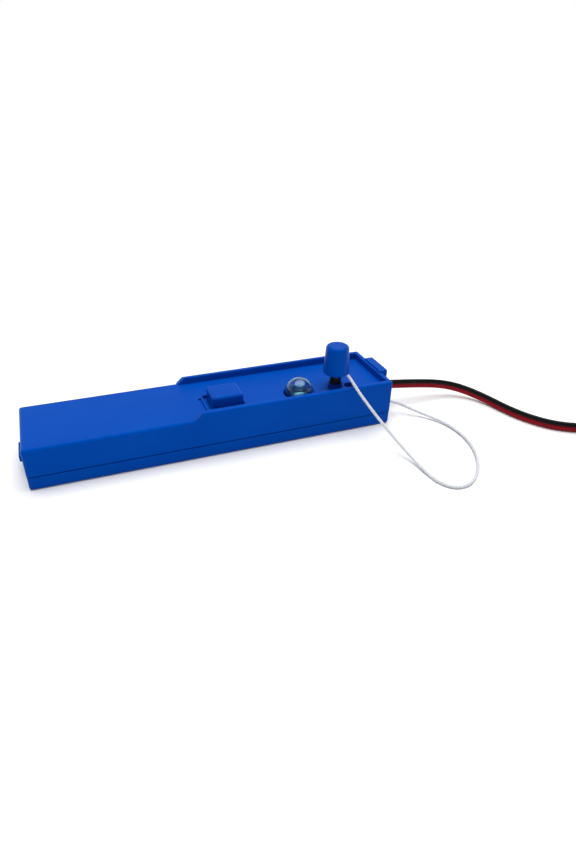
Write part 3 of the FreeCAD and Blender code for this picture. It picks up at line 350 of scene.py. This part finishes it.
def clear_glass(name):
    """Thin blown glass, faintly wavy, with a pale blue-green cast."""
    m = Nodes(name, Roughness=0.02, IOR=1.5, Transmission_Weight=1.0, Alpha=0.8,
              Specular_Tint=GLASS_SHEEN)
    m.vary_colour(m.noise(60, 2), rgb(158, 218, 236), rgb(176, 228, 242))
    m.bump(m.noise(90, 1), 0.00003)
    return m.material


def battery_jacket(name):
    """A plain two-colour metal sleeve: dark for most of its length, warm at one end."""
    m = Nodes(name, Metallic=0.7)
    split = m.node("SeparateXYZ")
    m.link(m.place.outputs["Object"], split.inputs["Vector"])
    warm_end = 13 * MM
    edge = node_box("battery")[1].x - warm_end
    beyond = m.node("Math", operation="GREATER_THAN")
    beyond.inputs[1].default_value = edge
    m.link(split.outputs["X"], beyond.inputs[0])
    m.vary_colour(beyond.outputs["Value"], rgb(38, 38, 42), rgb(196, 132, 70), 0.4, 0.6)
    m.vary_roughness(m.noise(500, 3), 0.28, 0.4)
    m.bump(m.noise(700, 3), 0.00001)
    return m.material


def laminate(name):
    """The contact board's brown paper laminate, with its grain along one way."""
    m = Nodes(name)
    m.vary_colour(m.noise(260, 6, (1, 5, 1)), rgb(132, 92, 48), rgb(172, 128, 76))
    m.vary_roughness(m.noise(500, 3), 0.5, 0.65)
    m.bump(m.noise(900, 4, (1, 5, 1)), 0.00003)
    return m.material


def floor_white(name):
    m = Nodes(name, Specular_IOR_Level=0.1, Roughness=0.9)
    m.vary_colour(m.noise(6, 2), rgb(236, 236, 236), rgb(238, 238, 238))
    return m.material


def blue_plastic(name, share=1.0, roughness=(0.32, 0.44)):
    """The case's deep blue, whose sheen is as blue as it is. share scales its brightness."""
    low = (0.0, 0.0525 * share, 0.345 * share, 1)
    high = (0.0, 0.0575 * share, 0.367 * share, 1)
    return moulded_plastic(name, low, high, roughness, 0.07, BLUE_SHEEN)


def make_materials():
    """The scene's materials by the record's material slot. A row is the function that makes
    the material and what it takes after the name."""
    rows = {
        "case_blue": (blue_plastic,),
        "cover_blue": (blue_plastic, 0.97, (0.36, 0.48)),
        "button_blue": (blue_plastic, 1.0, (0.26, 0.38)),
        "key_blue": (blue_plastic, 0.97, (0.24, 0.34)),
        "seat_white": (moulded_plastic, rgb(222, 222, 216), rgb(232, 232, 226)),
        "sleeve_black": (moulded_plastic, rgb(4, 9, 10), rgb(12, 17, 18)),
        "snap_black": (moulded_plastic, rgb(16, 17, 18), rgb(28, 29, 30)),
        "tie_black": (moulded_plastic, rgb(14, 15, 16), rgb(26, 27, 28)),
        "plug_black": (moulded_plastic, rgb(14, 15, 16), rgb(24, 25, 26)),
        "dark_glaze": (moulded_plastic, rgb(20, 20, 24), rgb(30, 30, 34), (0.08, 0.16), 0.5),
        "screw_steel": (metal, rgb(150, 152, 156), rgb(186, 188, 192)),
        "spring_steel": (metal, rgb(160, 162, 166), rgb(190, 192, 196)),
        "lamp_wire": (metal, rgb(196, 200, 204), rgb(232, 236, 238)),
        "lamp_nickel": (metal, rgb(196, 192, 178), rgb(222, 218, 206)),
        "pin_nickel": (metal, rgb(196, 192, 178), rgb(222, 218, 206)),
        "terminal_nickel": (metal, rgb(200, 200, 196), rgb(224, 224, 220)),
        "contact_brass": (metal, rgb(186, 146, 72), rgb(214, 176, 98)),
        "solder": (metal, rgb(160, 160, 162), rgb(186, 186, 188), (0.3, 0.5)),
        "lead_black": (insulation, rgb(2, 4, 4), rgb(8, 11, 12)),
        "lead_red": (insulation, rgb(124, 12, 24), rgb(142, 18, 32)),
        "tether_white": (string_fibre,),
        "clear_glass": (clear_glass,),
        # bead_glass is painted near white and opaque: a painted glint that stands in for the
        # bright spot the lit bead and its wires make inside the globe.
        "bead_glass": (moulded_plastic, rgb(222, 238, 243), rgb(242, 250, 252), (0.06, 0.14),
                       0.5),
        "battery_jacket": (battery_jacket,),
        "board_brown": (laminate,),
    }
    return {name: make(name, *rest) for name, (make, *rest) in rows.items()}


def paint(obj, *materials):
    """Gives a new mesh its materials. Its faces keep the material indices they have."""
    for material in materials:
        obj.data.materials.append(material)
    return obj


# ---- pieces that the CAD keeps plain -------------------------------------------------------


def finished(obj, body, slot, looks, *nodes):
    """Paints a piece, sets its body, and hides the CAD nodes that it stands for."""
    paint(obj, looks[slot])
    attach(obj, body)
    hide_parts(*nodes)
    return obj


def helix(centre, radius, bottom, top, turns, flat, per_turn=28):
    """Points up a helix round +Z, in metres; flat is how many turns at each end lie level."""
    points = []
    count = round(turns * per_turn)
    for i in range(count + 1):
        turn = i / per_turn
        rise = min(max((turn - flat) / (turns - 2 * flat), 0), 1)
        angle = 2 * math.pi * turn
        points.append(Vector((centre.x + radius * math.cos(angle),
                              centre.y + radius * math.sin(angle),
                              bottom + (top - bottom) * rise)))
    return points


def make_spring(looks):
    """The button's return spring as real wire, with closed ends that lie flat."""
    low, high = node_box("button_spring")
    wire, turns, flat = 0.25 * MM, 10.5, 1.0
    line = helix((low + high) / 2, (high.x - low.x) / 2 - wire, low.z + wire, high.z - wire,
                 turns, flat)
    spring = sweep("button_spring_wire", line, round_section(wire, 10))
    finished(spring, "root", "spring_steel", looks, "button_spring")
    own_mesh(spring)


def make_globe(looks):
    """The lamp's blown globe, with a wall of even thickness down to the neck's foot."""
    centre = node_centre("lamp_globe")
    foot = node_box("lamp_globe")[0].z / MM
    ball, neck, wall, middle, steps = 7.1, 4.1, 0.5, 21.0, 40

    def skin(radius, neck_radius):
        """The profile from the neck's foot up and over the ball to its top."""
        join = math.asin(neck_radius / radius)
        turns = [join + (math.pi - join) * k / steps for k in range(steps + 1)]
        return [(neck_radius, foot)] + [(radius * math.sin(a), middle - radius * math.cos(a))
                                        for a in turns]

    outer = skin(ball, neck)
    inner = skin(ball - wall, neck - wall)
    globe = lathe("lamp_globe_glass", outer + inner[::-1] + [outer[0]],
                  Vector((centre.x, centre.y, 0)), count=72)
    finished(globe, "root", "clear_glass", looks, "lamp_globe")


def make_lamp_threads(looks):
    """The lamp's threaded cap in the socket's threaded shell, both of thin sheet."""
    centre = node_centre("lamp_globe")
    pitch, depth, sheet, steps = 1.8, 0.16, 0.30, 46

    def thread(turn, height):
        return depth * math.cos(2 * math.pi * height / pitch - turn)

    for node, slot, radius in (("lamp_cap", "lamp_nickel", 4.55),
                               ("lamp_shell", "contact_brass", 5.15)):
        low, high = node_box(node)
        heights = [(low.z + (high.z - low.z) * k / steps) / MM for k in range(steps + 1)]
        profile = ([(radius, h) for h in heights] + [(radius - sheet, h) for h in heights[::-1]]
                   + [(radius, heights[0])])
        made = lathe(f"{node}_threaded", profile, Vector((centre.x, centre.y, 0)),
                     ripple=thread)
        finished(made, "root", slot, looks, node)


def make_filament(looks):
    """The lamp's filament, a fine wire coiled along its CAD bar."""
    low, high = node_box("lamp_filament")
    radius, wire, turns, per_turn = 0.22 * MM, 0.06 * MM, 13, 12
    line = []
    for i in range(turns * per_turn + 1):
        share = i / (turns * per_turn)
        angle = 2 * math.pi * i / per_turn
        line.append(Vector((low.x + (high.x - low.x) * share,
                            (low.y + high.y) / 2 + radius * math.cos(angle),
                            (low.z + high.z) / 2 + radius * math.sin(angle))))
    filament = sweep("lamp_filament_coil", line, round_section(wire, 6),
                     upward=Vector((1, 0, 0)))
    finished(filament, "root", "lamp_wire", looks, "lamp_filament")


def make_grommet(looks):
    """The strain relief: a flange inside the wall, a neck, and a tapered nose with grooves."""
    low, high = node_box("cable_grommet")
    length = (high.x - low.x) / MM
    flange, neck, nose = 4.2, 3.25, 6.2
    rib_pitch, rib_taper, groove = 1.35, 0.10, 0.35
    start = length - nose
    profile = [(0.0, 0.0), (flange - 0.2, 0.0), (flange, 0.2), (flange, 1.0),
               (flange - 0.2, 1.2), (neck, 1.25), (neck, start + 0.3)]
    for k in range(4):
        here = start + 0.5 + rib_pitch * k
        radius = neck - rib_taper * k
        profile += [(radius, here), (radius, here + 0.65), (radius - groove, here + 0.80),
                    (radius - groove, here + 1.20)]
    profile += [(2.80, length - 0.25), (2.62, length), (0.0, length)]
    centre = node_centre("cable_grommet")
    grommet = lathe("cable_grommet_ribbed", profile, Vector((low.x, centre.y, centre.z)),
                    (1, 0, 0), 40)
    return finished(grommet, "root", "snap_black", looks, "cable_grommet")


def soft_block(name, low, high, bevel, segments=3):
    """A box with rounded edges; low, high and bevel are in metres."""
    bm = bmesh.new()
    bmesh.ops.create_cube(bm, size=1.0)
    centre, extent = (low + high) / 2, high - low
    for vert in bm.verts:
        vert.co = Vector(c + e * v for c, e, v in zip(centre, extent, vert.co))
    bmesh.ops.bevel(bm, geom=bm.edges[:], offset=bevel, segments=segments, affect="EDGES",
                    profile=0.5)
    return mesh_object(name, bm)


def joined(name, pieces):
    """Several mesh objects as one."""
    bm = bmesh.new()
    for piece in pieces:
        bm.from_mesh(piece.data)
        bpy.data.objects.remove(piece)
    return crease_by_angle(mesh_object(name, bm))


def make_plug(looks):
    """The two-pin plug's moulding: a soft-edged body with grip ribs and a ringed sleeve."""
    low, high = node_box("plug_body")
    sleeve, ring_pitch, ring_taper, groove = 7.0, 1.7, 0.2, 0.4
    back = high.x - sleeve * MM
    centre = (low + high) / 2
    pieces = [soft_block("body", low, Vector((back, high.y, high.z)), 1.5 * MM)]
    first_rib, rib_pitch, rib_half, proud, shy = 4.5 * MM, 2.6 * MM, 0.6 * MM, 0.25 * MM, 1.2 * MM
    reach = Vector((rib_half, (high.y - low.y) / 2 + proud, (high.z - low.z) / 2 - shy))
    for k in range(5):
        middle = Vector((low.x + first_rib + rib_pitch * k, centre.y, centre.z))
        pieces.append(soft_block("rib", middle - reach, middle + reach, 0.3 * MM, 2))
    profile = [(0.0, 0.0), (3.6, 0.0), (3.6, 1.0)]
    for k in range(3):
        here = 1.2 + ring_pitch * k
        radius = 3.5 - ring_taper * k
        profile += [(radius, here), (radius, here + 0.9), (radius - groove, here + 1.1),
                    (radius - groove, here + 1.5)]
    profile += [(2.9, sleeve - 0.2), (2.7, sleeve), (0.0, sleeve)]
    sunk = 0.4 * MM
    pieces.append(lathe("sleeve", profile, Vector((back - sunk, centre.y, centre.z)),
                        (1, 0, 0), 32))
    return finished(joined("plug_moulding", pieces), "root", "plug_black", looks, "plug_body")


def make_pins(looks):
    """The plug's two turned pins, each with a rounded tip and a groove near the body."""
    low, high = node_box("plug_pins")
    length = (high.x - low.x) / MM
    thick, groove = 1.3, 0.15
    profile = [(0.0, 0.0), (0.5, 0.05), (0.95, 0.3), (1.22, 0.9), (thick, 1.8),
               (thick, length - 5.0), (thick - groove, length - 4.8),
               (thick - groove, length - 4.2), (thick, length - 4.0), (thick, length),
               (0.0, length)]
    pins = []
    for y in (low.y + thick * MM, high.y - thick * MM):
        pins.append(lathe("pin", profile, Vector((low.x, y, (low.z + high.z) / 2)), (1, 0, 0), 28))
    return finished(joined("plug_pins_turned", pins), "root", "pin_nickel", looks, "plug_pins")


def make_tie(looks):
    """The tie round the put-away lead: a rounded band with a lock on top."""
    low, high = node_box("coil_tie")
    thick, bend, soft = 0.8 * MM, 3.2 * MM, 0.2 * MM
    path = []
    corners = ((high.x - bend, high.z - bend, 0), (low.x + bend, high.z - bend, 90),
               (low.x + bend, low.z + bend, 180), (high.x - bend, low.z + bend, 270))
    steps = 10
    for x, z, start in corners:
        for k in range(steps + 1):
            angle = math.radians(start + 90 * k / steps)
            path.append((Vector((x, 0, z)), Vector((math.cos(angle), 0, math.sin(angle)))))
    section = [(0, low.y + soft), (0, high.y - soft), (soft, high.y), (thick - soft, high.y),
               (thick, high.y - soft), (thick, low.y + soft), (thick - soft, low.y),
               (soft, low.y)]
    bm = bmesh.new()
    rings = []
    for centre, out in path:
        rings.append([bm.verts.new(centre + out * (bend - deep) + Vector((0, y, 0)))
                      for deep, y in section])
    for first, second in zip(rings, rings[1:] + rings[:1]):
        for k in range(len(section)):
            n = (k + 1) % len(section)
            bm.faces.new((first[k], first[n], second[n], second[k]))
    bmesh.ops.recalc_face_normals(bm, faces=bm.faces)
    band = mesh_object("tie_band", bm)
    middle = Vector(((low.x + high.x) / 2, (low.y + high.y) / 2, high.z + 0.9 * MM))
    half = Vector((3.2 * MM, 3.6 * MM, 1.4 * MM))
    lock = soft_block("lock", middle - half, middle + half, 0.5 * MM)
    return finished(joined("coil_tie_band", [band, lock]), "root", "tie_black", looks, "coil_tie")


def make_knot(looks):
    """The overhand knot that stops the tether inside the end wall, and the string through
    the hole."""
    low, high = node_box("tether_stop")
    span, steps = 3.6, 96        # span is half the knot's height in the curve's own units
    size = (high.z - low.z) / 2 / span
    centre = Vector((low.x + 1.4 * MM, (low.y + high.y) / 2, (low.z + high.z) / 2))
    line = []
    for k in range(steps + 1):
        t = 2 * math.pi * k / steps
        line.append(centre + size * Vector((-1.3 * math.sin(3 * t),
                                            math.sin(t) + 2 * math.sin(2 * t),
                                            math.cos(t) - 2 * math.cos(2 * t))))
    loop = sweep("knot_loop", line, round_section(0.5 * MM), upward=Vector((1, 0, 0.01)))
    thick, length = 0.72, 3.0
    through = lathe("knot_core", [(0.0, 0.0), (thick, 0.0), (thick, length), (0.0, length)],
                    Vector((high.x - length * MM, centre.y, centre.z)), (1, 0, 0), 20)
    finished(joined("tether_knot", [loop, through]), "root", "tether_white", looks,
             "tether_stop")


# ---- cords -------------------------------------------------------------------------------


def coil_points():
    """Two layers of turns round the coil's centre: inward on the lower, outward above."""
    ring = node_centre("lead_coil") / MM
    per_turn = 16
    reach = 1 / math.cos(math.pi / per_turn)       # the spline cuts inside its points
    climb_turns = 0.35
    count = round(2 * COIL_TURNS * per_turn)
    points = []
    for i in range(count + 1):
        turns = i / per_turn
        wound = min(turns, 2 * COIL_TURNS - turns)
        radius = (COIL_RADIUS - COIL_PITCH * wound) * reach
        turn = math.pi / 2 - 2 * math.pi * turns
        climb = min(max((turns - COIL_TURNS) / climb_turns + 0.5, 0), 1)
        height = COIL_LAYERS[0] + (COIL_LAYERS[1] - COIL_LAYERS[0]) * climb
        points.append((ring.x + radius * math.cos(turn), ring.y + radius * math.sin(turn),
                       height))
    return points


def make_lead(looks):
    """The twin lead: a black core above a red one, from the grommet to the plug."""
    line = smooth_line("twin_lead", LEAD_ROUTE + coil_points() + TAIL_ROUTE)
    core, half, sweep_round = 1.25 * MM, 9, 300
    outline = []
    for centre, start in ((core, -60), (-core, 120)):
        for k in range(half):
            turn = math.radians(start + sweep_round * k / (half - 1))
            outline.append((core * math.cos(turn), centre + core * math.sin(turn)))
    slots = [0] * half + [1] * half
    lead = sweep("twin_lead_cores", line, lambda s: outline, slots)
    paint(lead, looks["lead_black"], looks["lead_red"])
    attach(lead, "root")
    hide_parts("twin_lead", "lead_coil", "lead_tail")
    return lead, line


def make_tether(looks):
    """The safety key's string: three strands twisted together, in a loop on the surface."""
    line = resampled(smooth_line("tether", TETHER_ROUTE), 0.35 * MM)
    radius, groove, count = 0.75 * MM, 0.20, 24
    twist = 2 * math.pi / (5.5 * MM)

    def strands(s):
        """The outline at arc length s: three lobes, turned as far as the twist has come."""
        ring = []
        for k in range(count):
            turn = 2 * math.pi * k / count
            lobe = abs(math.cos(1.5 * (turn - twist * s)))
            r = radius * (1 - groove + groove * lobe)
            ring.append((r * math.cos(turn), r * math.sin(turn)))
        return ring

    string = sweep("tether", line, strands)
    paint(string, looks["tether_white"])
    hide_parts("tether_string")
    return string, line


# ---- camera, light and floor ---------------------------------------------------------------


def make_camera():
    data = bpy.data.cameras.new("camera")
    data.lens = 25.35
    data.sensor_width = 36
    camera = bpy.data.objects.new("camera", data)
    bpy.context.scene.collection.objects.link(camera)
    heading = Matrix.Rotation(math.radians(CAMERA_HEADING), 4, "Z")
    tilt = Matrix.Rotation(math.radians(90 - CAMERA_DIP), 4, "X")
    roll = Matrix.Rotation(math.radians(CAMERA_ROLL), 4, "Z")
    where = Matrix.Translation(Vector(CAMERA_PLACE) * MM)
    camera.matrix_world = where @ heading @ tilt @ roll
    data.clip_start = 0.005
    bpy.context.scene.camera = camera


def make_sky():
    """Light that is white along the horizon and a quarter as bright higher up. The camera
    itself sees plain white."""
    world = bpy.data.worlds.new("studio")
    world.use_nodes = True
    tree = world.node_tree
    place = tree.nodes.new("ShaderNodeTexCoord")
    split = tree.nodes.new("ShaderNodeSeparateXYZ")
    ramp = tree.nodes.new("ShaderNodeValToRGB")
    ramp.color_ramp.elements[0].position = 0.14
    ramp.color_ramp.elements[0].color = (1.0, 1.0, 1.0, 1)
    ramp.color_ramp.elements[1].position = 0.46
    ramp.color_ramp.elements[1].color = (0.26, 0.26, 0.26, 1)
    tree.links.new(place.outputs["Generated"], split.inputs["Vector"])
    tree.links.new(split.outputs["Z"], ramp.inputs["Fac"])
    seen = tree.nodes.new("ShaderNodeLightPath")
    backdrop = tree.nodes.new("ShaderNodeMix")
    backdrop.data_type = "RGBA"
    backdrop.inputs["B"].default_value = WHITE
    tree.links.new(seen.outputs["Is Camera Ray"], backdrop.inputs["Factor"])
    tree.links.new(ramp.outputs["Color"], backdrop.inputs["A"])
    tree.links.new(backdrop.outputs["Result"], tree.nodes["Background"].inputs["Color"])
    tree.nodes["Background"].inputs["Strength"].default_value = 1.0
    bpy.context.scene.world = world


def make_studio(floor_material):
    """A wide pale floor under a soft broad light from above, a little behind."""
    mesh = bpy.data.meshes.new("floor")
    half, drop = 30.0, -0.00005
    mesh.from_pydata([(-half, -half, drop), (half, -half, drop), (half, half, drop),
                      (-half, half, drop)], [], [(0, 1, 2, 3)])
    floor = new_object("floor", mesh)
    paint(floor, floor_material)
    make_sky()
    data = bpy.data.lights.new("softbox", "SUN")
    data.energy = 3.6
    data.angle = math.radians(62)
    light = bpy.data.objects.new("softbox", data)
    bpy.context.scene.collection.objects.link(light)
    light.rotation_euler = Vector((0.08, 0.10, 1.0)).to_track_quat("Z", "Y").to_euler()
    bpy.context.scene.view_settings.view_transform = "Standard"


# ---- put together --------------------------------------------------------------------------


def dress_cad_nodes(looks):
    """Every CAD node takes the procedural material of its slot in the record."""
    for entry in frame["record"]["subparts"]:
        obj = frame["nodes"][entry["node"]]
        for slot in obj.material_slots:
            slot.material = looks[entry["material_slot"]]


def main():
    looks = make_materials()
    dress_cad_nodes(looks)
    make_spring(looks)
    make_globe(looks)
    make_lamp_threads(looks)
    make_filament(looks)
    grommet = make_grommet(looks)
    plug = make_plug(looks)
    pins = make_pins(looks)
    tie = make_tie(looks)
    make_knot(looks)
    lead, lead_line = make_lead(looks)
    string, string_line = make_tether(looks)
    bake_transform(string)
    make_camera()
    make_studio(floor_white("floor_white"))


main()
